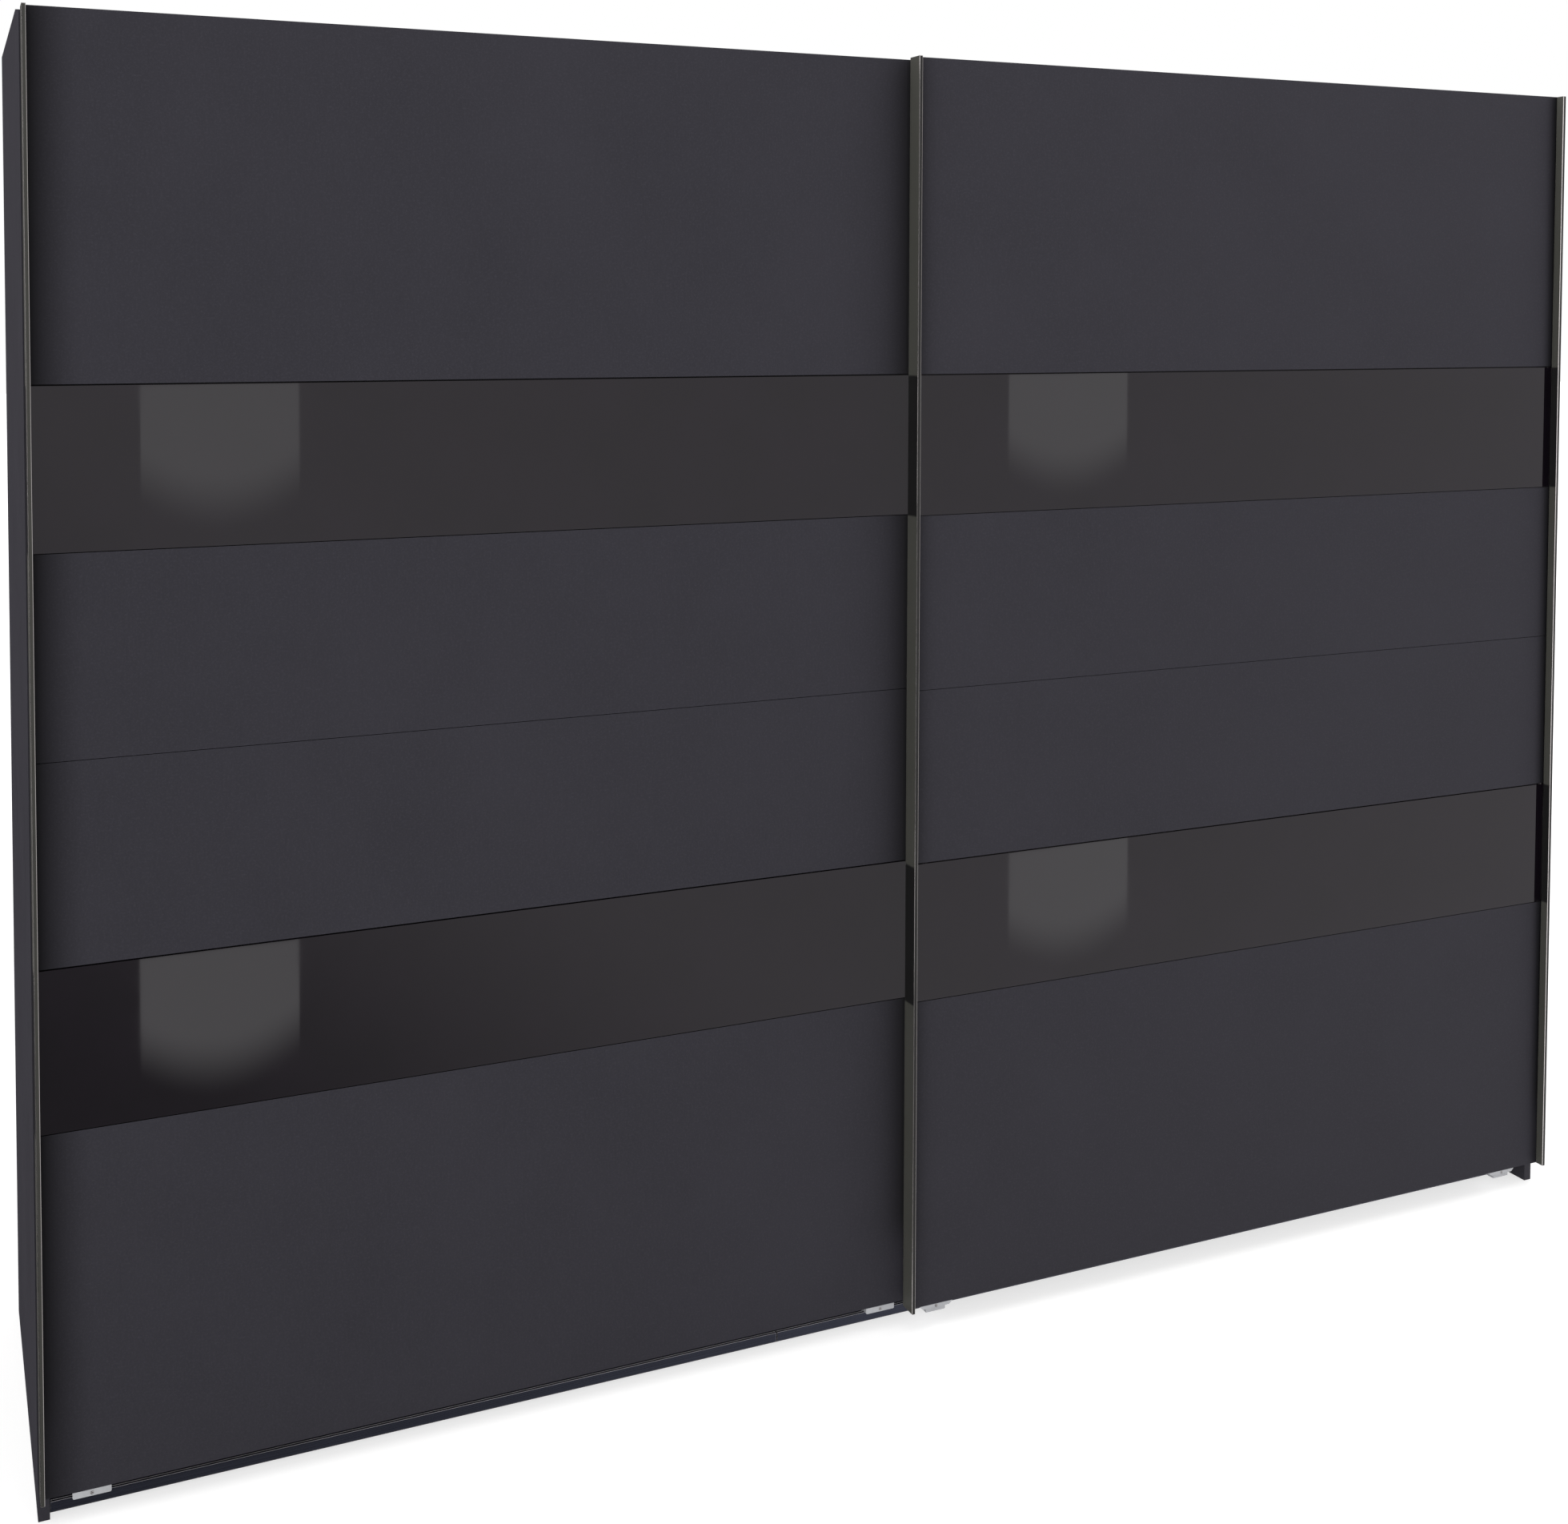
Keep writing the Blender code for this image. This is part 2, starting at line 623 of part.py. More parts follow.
def make_wheel_set(build, door, door_name, word, x, ridge, tab_near, tab_far):
    """A grooved wheel on its riveted axle; the tab lies between two distances from the wheel."""
    to_tab = 1 if tab_near > 0 else -1
    turn = (math.radians(-90 * to_tab), 0.0, 0.0)
    rim = WHEEL_HALF - WHEEL_CHAMFER
    rim_r = WHEEL_FLANGE_R - WHEEL_CHAMFER
    lip = RIDGE_HALF + GROOVE_FLARE
    seat = RIDGE_HALF + GROOVE_CLEAR
    wheel_profile = [
        (WHEEL_BORE_R, WHEEL_HALF), (rim_r, WHEEL_HALF), (WHEEL_FLANGE_R, rim),
        (WHEEL_FLANGE_R, lip), (WHEEL_GROOVE_R, seat), (WHEEL_GROOVE_R, -seat),
        (WHEEL_FLANGE_R, -lip), (WHEEL_FLANGE_R, -rim), (rim_r, -WHEEL_HALF),
        (WHEEL_BORE_R, -WHEEL_HALF),
    ]
    mesh = profile_mesh(wheel_profile, True)
    place = (x, ridge, WHEEL_Z)
    wheel = build.add("%s_wheel_%s" % (door_name, word), mesh, "nylon", door, place, turn)
    turned(wheel, WHEEL_STEPS)
    near = abs(tab_near) - GAP
    far = abs(tab_far) + GAP
    face = WHEEL_HALF + GAP
    axle_profile = [
        (0.0, far + AXLE_HEAD), (AXLE_COLLAR_R, far + AXLE_HEAD), (AXLE_COLLAR_R, far),
        (AXLE_R, far), (AXLE_R, near), (AXLE_COLLAR_R, near), (AXLE_COLLAR_R, face),
        (AXLE_R, face), (AXLE_R, -face), (AXLE_HEAD_R, -face), (AXLE_HEAD_R, -face - AXLE_HEAD),
        (0.0, -face - AXLE_HEAD),
    ]
    mesh = profile_mesh(axle_profile, False)
    axle = build.add("%s_axle_%s" % (door_name, word), mesh, "steel", door, place, turn)
    turned(axle, AXLE_STEPS)


def make_rear_guide(build, door, name, x):
    """A guide below the rear door: a plate with round lower corners, an arm and a tongue."""
    radius = REAR_GUIDE_CORNER
    high = REAR_DOOR_LOW - GAP
    low = high - REAR_GUIDE_HEIGHT
    half = REAR_GUIDE_WIDTH / 2
    plate = arc((-half + radius, low + radius), radius, 180, 270, 3)
    plate += arc((half - radius, low + radius), radius, 270, 360, 3)
    plate += [(half, high), (-half, high)]
    mesh = outline_mesh([plate], LEAF)
    place = (x, REAR_DOOR_FACE + LEAF / 2, 0.0)
    guide = build.add(name, mesh, "plastic", door, place, ALONG_Y)
    start = REAR_DOOR_FACE + LEAF - REAR_GUIDE_BITE
    end = groove_middle(1) + TONGUE / 2
    arm_high = high - GUIDE_ARM_DROP
    arm = [
        (start, low), (end - TONGUE, low), (end - TONGUE, TONGUE_LOW), (end, TONGUE_LOW),
        (end, arm_high), (start, arm_high),
    ]
    build.join(guide, outline_mesh([arm], GUIDE_ARM_WIDTH), (x, 0.0, 0.0), ALONG_X)


def make_front_guide(build, door, name, x):
    """A guide below the front door: a face plate with sloped ends, a neck, an arm and a tongue."""
    high = FRONT_DOOR_LOW - GAP
    low = high - FRONT_GUIDE_HEIGHT
    half_high = FRONT_GUIDE_TOP_HALF
    half_low = FRONT_GUIDE_LOW_HALF
    face = [(-half_low, low), (half_low, low), (half_high, high), (-half_high, high)]
    mesh = outline_mesh([face], LEAF)
    place = (x, FRONT_DOOR_FACE + LEAF / 2, 0.0)
    guide = build.add(name, mesh, "plastic", door, place, ALONG_Y)
    start = FRONT_DOOR_FACE + FRONT_ARM_START
    neck = FRONT_DOOR_FACE + LEAF - FRONT_GUIDE_BITE
    neck_high = high - GUIDE_ARM_DROP
    end = groove_middle(0) + TONGUE / 2
    arm = [
        (start, FRONT_ARM_LOW), (end - TONGUE, FRONT_ARM_LOW), (end - TONGUE, TONGUE_LOW),
        (end, TONGUE_LOW), (end, FRONT_ARM_HIGH), (neck, FRONT_ARM_HIGH), (neck, neck_high),
        (start, neck_high),
    ]
    build.join(guide, outline_mesh([arm], GUIDE_ARM_WIDTH), (x, 0.0, 0.0), ALONG_X)


def make_left_door(build):
    """The door on the rear track."""
    ends = (-DOOR_OUTER_X, DOOR_OVERLAP_HALF)
    levels = (REAR_DOOR_LOW, REAR_DOOR_HIGH)
    door = build.anchor("left_door_slide", (sum(ends) / 2, REAR_RIDGE_Y, WHEEL_Z))
    face = REAR_DOOR_FACE
    make_leaves(build, door, "left_door", face, ends, *levels)
    make_upright(build, door, "left_door_handle_rail", ends[0], 1, face, levels, True)
    make_upright(build, door, "left_door_edge_strip", ends[1], -1, face, levels, False)
    leg = face + LEAF + GAP
    tab_near = REAR_TAB_OFFSET
    tab_far = tab_near + REAR_HANGER_STEEL
    path = (leg, REAR_RIDGE_Y + tab_far, REAR_HANGER_LOW, REAR_HANGER_TOP)
    for word, x in (("left", -HANGER_FAR_X), ("right", -HANGER_NEAR_X)):
        make_hanger(build, door, "left_door_hanger_" + word, x, path, REAR_HANGER_STEEL)
        make_wheel_set(build, door, "left_door", word, x, REAR_RIDGE_Y, tab_near, tab_far)
    for word, x in zip(("left", "right"), REAR_GUIDE_MIDDLES):
        make_rear_guide(build, door, "left_door_guide_" + word, x)


def make_right_door(build):
    """The door on the front track, carried over the top of the rear one."""
    ends = (-DOOR_OVERLAP_HALF, DOOR_OUTER_X)
    levels = (FRONT_DOOR_LOW, FRONT_DOOR_HIGH)
    door = build.anchor("right_door_slide", (sum(ends) / 2, FRONT_RIDGE_Y, WHEEL_Z))
    face = FRONT_DOOR_FACE
    make_leaves(build, door, "right_door", face, ends, *levels)
    make_upright(build, door, "right_door_handle_rail_left", ends[0], 1, face, levels, True)
    make_upright(build, door, "right_door_handle_rail_right", ends[1], -1, face, levels, True)
    leg = face + LEAF + GAP
    tab_near = FRONT_TAB_OFFSET
    tab_far = tab_near - FRONT_HANGER_STEEL
    path = (leg, FRONT_RIDGE_Y + tab_near, FRONT_HANGER_LOW, FRONT_HANGER_TOP)
    for word, x in (("left", HANGER_NEAR_X), ("right", HANGER_FAR_X)):
        make_hanger(build, door, "right_door_hanger_" + word, x, path, FRONT_HANGER_STEEL)
        make_wheel_set(build, door, "right_door", word, x, FRONT_RIDGE_Y, tab_near, tab_far)
    for word, x in zip(("left", "right"), FRONT_GUIDE_MIDDLES):
        make_front_guide(build, door, "right_door_guide_" + word, x)


def main():
    """Builds the wardrobe with both doors closed."""
    clear_scene()
    build = Builder()
    make_carcass(build)
    make_left_door(build)
    make_right_door(build)


main()
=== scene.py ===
"""Looks of the sliding door wardrobe: materials, small fittings, floor, light and camera.

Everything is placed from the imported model's boxes, in metres, +Z up, -Y the front.
"""
import json
import math

import bmesh
import bpy
from mathutils import Matrix, Vector


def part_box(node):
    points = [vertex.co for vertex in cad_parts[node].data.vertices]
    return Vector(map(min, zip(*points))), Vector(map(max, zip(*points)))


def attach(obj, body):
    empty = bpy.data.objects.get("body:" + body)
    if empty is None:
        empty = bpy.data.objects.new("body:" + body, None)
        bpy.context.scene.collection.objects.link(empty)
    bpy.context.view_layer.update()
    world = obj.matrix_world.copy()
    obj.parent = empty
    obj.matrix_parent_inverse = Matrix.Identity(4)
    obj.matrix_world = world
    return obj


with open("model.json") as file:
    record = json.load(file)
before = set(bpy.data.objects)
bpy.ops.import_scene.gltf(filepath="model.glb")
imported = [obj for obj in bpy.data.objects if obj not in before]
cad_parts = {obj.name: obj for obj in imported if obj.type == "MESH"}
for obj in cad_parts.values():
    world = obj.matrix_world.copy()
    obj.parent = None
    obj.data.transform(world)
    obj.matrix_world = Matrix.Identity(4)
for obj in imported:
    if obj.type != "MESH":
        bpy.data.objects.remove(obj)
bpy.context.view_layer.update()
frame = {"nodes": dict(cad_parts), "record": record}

NODES = frame["nodes"]

# ---------------------------------------------------------------- camera: metres, degrees, lens in mm
CAMERA_PLACE = (-1.4659, -2.7341, 1.6326)
CAMERA_TURN = 21.636
CAMERA_DIP = 2.194
CAMERA_LENS = 40.737
CAMERA_SHIFT = (0.0966, -0.2373)
SENSOR_WIDTH = 36.0
CLIP_END = 200.0

# ---------------------------------------------------------------- doors
# Painted shade beside each door's left and right upright: how far it reaches, how deep it is.
LEAF_SHADOWS = {
    "left_door": ((0.072, 0.56), (0.030, 0.30)),
    "right_door": ((0.045, 0.16), (0.028, 0.50)),
}
# Painted shade beside whatever stands proud of a leaf: its reach, the share of open sky where it starts
# and is full, and the heights between which it sets in, above the floor's own contact shadow.
PAINTED_SHADE_REACH = 0.12
PAINTED_SHADE_START = 0.985
PAINTED_SHADE_FULL = 0.40
PAINTED_SHADE_FLOOR = (0.10, 0.20)
PAINTED_SHADE_COLOUR = (0.008, 0.008, 0.009)
BLACK = (0.0, 0.0, 0.0)
# How softly the painted reflection of a glass band on a rail's sides ends.
GLASS_LEVEL_BLUR = 0.002
# Right door pieces that the left door's glass doesn't mirror, or it would show a black strip.
HIDDEN_IN_GLASS = ("handle_rail_left", "leaf_upper", "leaf_lower", "glass_upper", "glass_lower")

# ---------------------------------------------------------------- light
# The room that gloss sees: bright in front, dim behind, darker low on the left, a window far left.
ROOM_LIGHT = 0.80
ROOM_BACK = 0.26
ROOM_TURN = (-0.25, 0.30)
CORNER_DIM = 0.30
CORNER_TILT = 1.2
CORNER_TURN = (-0.42, 0.02)
LEFT_DIM = 0.22
LEFT_DIM_TURN = (-0.22, -0.02)
LEFT_LIGHT = 2.0
LEFT_LIGHT_TURN = (-0.92, -0.72)
ROOM_COLOUR = (1.0, 0.985, 0.98)
GLOSS_COLOUR = (0.97, 0.93, 0.97)
WHITE = (1.0, 1.0, 1.0)

LAMP_PLACE = (0.5, -0.6, 4.6)
LAMP_TARGET = (0.5, -0.6, 0.0)
LAMP_SIZE = (7.0, 4.0)
LAMP_POWER = 130.0

# The floor glows faintly by the wardrobe and fully where it meets the backdrop.
FLOOR_GLOW = 0.70
FLOOR_FADE = (1.8, 6.0)
FLOOR_SIZE = 40.0
FLOOR_GAP = 0.0005

# Light panels: distance in front of the glass, and the span of x on the glass where each one shows.
SOFTBOX_GLOW = 1.42
SOFTBOX_COLOUR = (1.0, 0.98, 1.0)
SOFTBOX_AWAY = 1.10
SOFTBOX_BOWL = 0.7
SOFTBOX_FADE = (0.06, 0.48)
SOFTBOX_SPANS = {
    "left_door_glass_upper": (-1.2024, -0.9877),
    "left_door_glass_lower": (-1.2104, -0.9932),
    "right_door_glass_upper": (0.1563, 0.3880),
    "right_door_glass_lower": (0.1638, 0.3985),
}


# ---------------------------------------------------------------- node helpers
class Shade:
    """A node material under construction."""

    def __init__(self, name):
        self.material = bpy.data.materials.new(name)
        self.material.use_nodes = True
        self.tree = self.material.node_tree
        self.shader = self.tree.nodes["Principled BSDF"]
        coords = self.tree.nodes.new("ShaderNodeTexCoord")
        self.place = coords.outputs["Object"]

    def node(self, kind, **settings):
        """A node with its settings."""
        made = self.tree.nodes.new("ShaderNode" + kind)
        for key, value in settings.items():
            setattr(made, key, value)
        return made

    def link(self, source, target):
        """Joins an output to an input."""
        self.tree.links.new(source, target)

    def stretched(self, scale):
        """The object's own coordinates, stretched by a scale for each axis."""
        mapping = self.node("Mapping")
        mapping.inputs["Scale"].default_value = scale
        self.link(self.place, mapping.inputs["Vector"])
        return mapping.outputs["Vector"]

    def noise(self, scale, detail=3.0, roughness=0.5, place=None):
        """Noise between 0 and 1, scale in features per metre."""
        made = self.node("TexNoise")
        made.inputs["Scale"].default_value = scale
        made.inputs["Detail"].default_value = detail
        made.inputs["Roughness"].default_value = roughness
        self.link(place or self.place, made.inputs["Vector"])
        return made.outputs["Fac"]

    def spread(self, source, low, high, start=0.3, end=0.7):
        """Maps a source's middle range to the range low to high."""
        made = self.node("MapRange")
        self.link(source, made.inputs["Value"])
        made.inputs["From Min"].default_value = start
        made.inputs["From Max"].default_value = end
        made.inputs["To Min"].default_value = low
        made.inputs["To Max"].default_value = high
        return made.outputs["Result"]

    def mix(self, factor, first, second):
        """A mix of two colours or colour sources."""
        made = self.node("Mix", data_type="RGBA")
        self.link(factor, made.inputs["Factor"])
        for value, target in ((first, made.inputs["A"]), (second, made.inputs["B"])):
            if isinstance(value, tuple):
                target.default_value = (*value, 1.0)
            else:
                self.link(value, target)
        return made.outputs["Result"]

    def total(self, first, second, share):
        """first plus share times second."""
        made = self.node("Math", operation="MULTIPLY_ADD")
        self.link(second, made.inputs[0])
        made.inputs[1].default_value = share
        self.link(first, made.inputs[2])
        return made.outputs[0]

    def colour(self, source):
        """Links the shader's base colour."""
        self.link(source, self.shader.inputs["Base Color"])

    def roughness(self, source):
        """Links the shader's roughness."""
        self.link(source, self.shader.inputs["Roughness"])

    def bump(self, height, strength, distance):
        """Puts a bump on the shader."""
        made = self.node("Bump")
        made.inputs["Strength"].default_value = strength
        made.inputs["Distance"].default_value = distance
        self.link(height, made.inputs["Height"])
        self.link(made.outputs["Normal"], self.shader.inputs["Normal"])

    def nearness(self, reach, start, end):
        """From 0 on open faces to 1 beside something that stands proud within reach; the mask for
        painted shade.
        """
        made = self.node("AmbientOcclusion", samples=10)
        made.inputs["Distance"].default_value = reach
        return self.spread(made.outputs["AO"], 0.0, 1.0, start, end)

    def along(self, axis, low, high, start, end):
        """A smooth step from low to high between two places on one axis."""
        axes = self.node("SeparateXYZ")
        self.link(self.place, axes.inputs["Vector"])
        made = self.node("MapRange", interpolation_type="SMOOTHSTEP")
        self.link(axes.outputs[axis], made.inputs["Value"])
        made.inputs["From Min"].default_value = start
        made.inputs["From Max"].default_value = end
        made.inputs["To Min"].default_value = low
        made.inputs["To Max"].default_value = high
        return made.outputs["Result"]

    def times(self, first, second):
        """Two sources multiplied."""
        made = self.node("Math", operation="MULTIPLY")
        self.link(first, made.inputs[0])
        self.link(second, made.inputs[1])
        return made.outputs[0]

    def face_share(self, axis):
        """1 on faces that look either way along one axis, 0 elsewhere."""
        coords = self.node("TexCoord")
        axes = self.node("SeparateXYZ")
        self.link(coords.outputs["Normal"], axes.inputs["Vector"])
        size = self.node("Math", operation="ABSOLUTE")
        self.link(axes.outputs[axis], size.inputs[0])
        return self.spread(size.outputs[0], 0.0, 1.0, 0.90, 0.97)

    def edges(self, width):
        """Near 1 along edges and corners, 0 on open faces."""
        bevel = self.node("Bevel", samples=6)
        bevel.inputs["Radius"].default_value = width
        geometry = self.node("NewGeometry")
        dot = self.node("VectorMath", operation="DOT_PRODUCT")
        self.link(bevel.outputs["Normal"], dot.inputs[0])
        self.link(geometry.outputs["Normal"], dot.inputs[1])
        return self.spread(dot.outputs["Value"], 1.0, 0.0, 0.80, 0.98)

    def set(self, **values):
        """Plain values on the shader's own sockets."""
        for key, value in values.items():
            self.shader.inputs[key.replace("_", " ")].default_value = value


def tint(colour, factor):
    """A colour made lighter or darker."""
    return tuple(channel * factor for channel in colour)


# ---------------------------------------------------------------- materials
# Base colours, linear. A pair is the two ends that a finish varies between.
GRAPHITE = (0.0296, 0.0286, 0.0360)
GLASS_BLACK = (0.0028, 0.0016, 0.0034)
# Rail sides: satin carrying a painted reflection of the decor beside them, and darker for the painted
# reflection of the glass bands.
RAIL_SATIN_AND_REFLECTION = ((0.066, 0.066, 0.058), (0.078, 0.078, 0.069))
RAIL_GLASS_REFLECTION = ((0.011, 0.011, 0.011), (0.015, 0.015, 0.015))
# Rail fronts of one finish, painted lighter on the left door and darker on the right for the light each
# takes.
LEFT_RAIL_FRONT_LIT = (0.040, 0.040, 0.035)
RIGHT_RAIL_FRONT_SHADED = (0.016, 0.016, 0.015)
# Colours for rounded edges: lighter copies of the aluminium, painted highlights along the edges.
RAIL_EDGE_HIGHLIGHT = (0.62, 0.61, 0.58)
GUIDE_BODY = (0.066, 0.073, 0.097)
GUIDE_EDGE_HIGHLIGHT = (0.50, 0.50, 0.52)
TRACK_BODY = (0.20, 0.20, 0.205)
TRACK_EDGE_HIGHLIGHT = (0.45, 0.45, 0.45)
ZINC = (0.52, 0.52, 0.50)
CHROME = (0.70, 0.70, 0.71)
GUIDE_PLASTIC = (0.43, 0.44, 0.46)
NYLON = (0.022, 0.022, 0.023)
FIBREBOARD = (0.070, 0.066, 0.066)
FLOOR_PAPER = ((0.50, 0.50, 0.50), (0.52, 0.52, 0.52))

# Along which axis an extrusion's die lines run.
ALONG_X = 0
ALONG_Z = 2


def decor_shade(name):
    """Matt graphite melamine: a fine pearl grain, faint clouding and slightly paler edges."""
    shade = Shade(name)
    usual = (0.85, 1.45)
    grain = shade.noise(scale=900.0, detail=4.0, roughness=0.6)
    upright = shade.stretched((420.0, 420.0, 60.0))
    fibre = shade.noise(scale=1.0, detail=5.0, roughness=0.6, place=upright)
    cloud = shade.noise(scale=6.0, detail=4.0, roughness=0.55)
    speck = shade.noise(scale=330.0, detail=2.0, roughness=0.7)
    mottled = shade.total(shade.total(grain, fibre, share=0.6), cloud, share=0.7)
    factor = shade.spread(mottled, 0.0, 1.0, *usual)
    clouded = shade.mix(factor, tint(GRAPHITE, 0.90), tint(GRAPHITE, 1.10))
    specks = shade.spread(speck, 0.0, 0.5, 0.5, 0.75)
    body = shade.mix(specks, clouded, tint(GRAPHITE, 1.55))
    # Paler along edges and corners.
    pale_edged = shade.mix(shade.edges(width=0.0012), body, tint(GRAPHITE, 1.5))
    shade.roughness(shade.spread(mottled, 0.48, 0.62, *usual))
    shade.bump(shade.total(grain, fibre, share=0.8), strength=0.35, distance=0.00012)
    shade.set(Specular_IOR_Level=0.18)
    return shade, pale_edged


def decor_material():
    """The melamine of the carcass boards."""
    shade, colour = decor_shade("graphite_melamine")
    shade.colour(colour)
    return shade.material


def leaf_material(name, shadows):
    """A door's melamine, with painted shade beside its own uprights and wherever another door stands
    proud.
    """
    shade, colour = decor_shade(name)
    # Painted shade from an occlusion mask beside whatever stands proud, set in above the floor's contact
    # shadow.
    raised = shade.along("Z", 0.0, 1.0, *PAINTED_SHADE_FLOOR)
    near = shade.times(shade.nearness(PAINTED_SHADE_REACH, PAINTED_SHADE_START, PAINTED_SHADE_FULL), raised)
    colour = shade.mix(near, colour, PAINTED_SHADE_COLOUR)
    # Painted shade: each leaf darkens towards its own uprights.
    for edge, reach, depth in shadows:
        painted_upright_shade = shade.along("X", depth, 0.0, edge, edge + reach)
        colour = shade.mix(painted_upright_shade, colour, BLACK)
    shade.colour(colour)
    shade.set(Specular_IOR_Level=0.12)
    return shade.material


def glass_material():
    """Black glass: deep gloss with a trace of haze."""
    shade = Shade("black_glass")
    haze = shade.noise(scale=9.0, detail=5.0, roughness=0.6)
    factor = shade.spread(haze, 0.0, 1.0)
    shade.colour(shade.mix(factor, tint(GLASS_BLACK, 0.8), tint(GLASS_BLACK, 1.3)))
    shade.roughness(shade.spread(haze, 0.02, 0.045))
    shade.bump(shade.noise(scale=2.2, detail=2.0, roughness=0.4), strength=0.06, distance=0.002)
    shade.set(IOR=1.52)
    return shade.material


def aluminium_shade(name, along):
    """Satin aluminium with fine die lines along one axis, and what its colour varies with."""
    shade = Shade(name)
    scale = [900.0, 900.0, 900.0]
    scale[along] = 1.5
    lines = shade.noise(scale=1.0, detail=3.0, roughness=0.6, place=shade.stretched(scale))
    cloud = shade.noise(scale=14.0, detail=3.0, roughness=0.5)
    shade.bump(lines, strength=0.04, distance=0.00002)
    shade.set(Metallic=1.0)
    return shade, lines, shade.spread(shade.total(lines, cloud, share=0.5), 0.0, 1.0, 0.5, 1.0)


def aluminium_material(name, base, along, roughness):
    """Aluminium of one finish all round."""
    shade, lines, factor = aluminium_shade(name, along)
    shade.colour(shade.mix(factor, tint(base, 0.88), tint(base, 1.1)))
    shade.roughness(shade.spread(lines, roughness - 0.05, roughness + 0.07))
    return shade.material


def rail_material(name, front):
    """A dyed handle rail: satin sides with painted reflections of decor and glass bands; a front of its
    own colour, painted lighter or darker per door.
    """
    shade, lines, factor = aluminium_shade(name, ALONG_Z)
    # The front's colour, painted lighter or darker per door.
    face = shade.mix(factor, tint(front, 0.88), tint(front, 1.12))
    # The sides' satin colour carries a painted reflection of the decor beside them.
    satin = shade.mix(factor, *RAIL_SATIN_AND_REFLECTION)
    dark = shade.mix(factor, *RAIL_GLASS_REFLECTION)
    # Painted reflections of the dark glass bands on the sides, at the bands' heights.
    for level in ("upper", "lower"):
        low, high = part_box("left_door_glass_" + level)
        over = shade.along("Z", 0.0, 1.0, low[2] - GLASS_LEVEL_BLUR, low[2] + GLASS_LEVEL_BLUR)
        under = shade.along("Z", 1.0, 0.0, high[2] - GLASS_LEVEL_BLUR, high[2] + GLASS_LEVEL_BLUR)
        satin = shade.mix(shade.times(over, under), satin, dark)
    sides = shade.face_share("X")
    shade.colour(shade.mix(sides, face, satin))
    shade.roughness(shade.spread(lines, 0.36, 0.46))
    shade.set(Metallic=0.0, Specular_IOR_Level=0.3)
    return shade.material


def steel_material():
    """Zinc-plated pressed steel with a faint spangle."""
    shade = Shade("zinc_steel")
    spangle = shade.node("TexVoronoi")
    spangle.inputs["Scale"].default_value = 260.0
    shade.link(shade.place, spangle.inputs["Vector"])
    cloud = shade.noise(scale=60.0, detail=4.0, roughness=0.6)
    mottled = shade.total(cloud, spangle.outputs["Distance"], share=0.4)
    factor = shade.spread(mottled, 0.0, 1.0, 0.4, 1.0)
    shade.colour(shade.mix(factor, tint(ZINC, 0.8), tint(ZINC, 1.15)))
    shade.roughness(shade.spread(mottled, 0.28, 0.45, 0.4, 1.0))
    shade.bump(cloud, strength=0.1, distance=0.0001)
    shade.set(Metallic=1.0)
    return shade.material


def chrome_material():
    """Chrome-plated tube with rub marks where hangers slide."""
    shade = Shade("chrome_tube")
    rubs = shade.noise(scale=1.0, detail=4.0, roughness=0.6, place=shade.stretched((3.0, 500.0, 500.0)))
    shade.colour(shade.mix(shade.spread(rubs, 0.0, 1.0), tint(CHROME, 0.93), CHROME))
    shade.roughness(shade.spread(rubs, 0.10, 0.22))
    shade.bump(rubs, strength=0.05, distance=0.00003)
    shade.set(Metallic=1.0)
    return shade.material


def plastic_material(name, base, low, high):
    """Moulded plastic with a spark-eroded skin and paler corners."""
    shade = Shade(name)
    skin = shade.noise(scale=1800.0, detail=2.0, roughness=0.5)
    cloud = shade.noise(scale=40.0, detail=3.0, roughness=0.5)
    body = shade.mix(shade.spread(cloud, 0.0, 1.0), tint(base, 0.92), tint(base, 1.06))
    shade.colour(shade.mix(shade.edges(width=0.0006), body, tint(base, 1.2)))
    shade.roughness(shade.spread(cloud, low, high))
    shade.bump(skin, strength=0.25, distance=0.00008)
    return shade.material


def fibreboard_material():
    """Dark coated fibreboard: a mat of short fibres under a thin lacquer."""
    shade = Shade("fibreboard")
    mat = shade.noise(scale=1.0, detail=6.0, roughness=0.7, place=shade.stretched((500.0, 500.0, 140.0)))
    cloud = shade.noise(scale=3.0, detail=4.0, roughness=0.6)
    mottled = shade.total(mat, cloud, share=0.35)
    factor = shade.spread(mottled, 0.0, 1.0, 0.45, 0.9)
    shade.colour(shade.mix(factor, tint(FIBREBOARD, 0.80), tint(FIBREBOARD, 1.15)))
    shade.roughness(shade.spread(mottled, 0.6, 0.8, 0.6, 1.0))
    shade.bump(mat, strength=0.4, distance=0.0002)
    return shade.material


def leaf_shadows(door):
    """Where painted shade beside a door's uprights darkens its leaves: the line, the reach from it and
    the depth.
    """
    low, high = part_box(door + "_leaf_upper")
    near, far = LEAF_SHADOWS[door]
    return [(low[0], near[0], near[1]), (high[0], -far[0], far[1])]


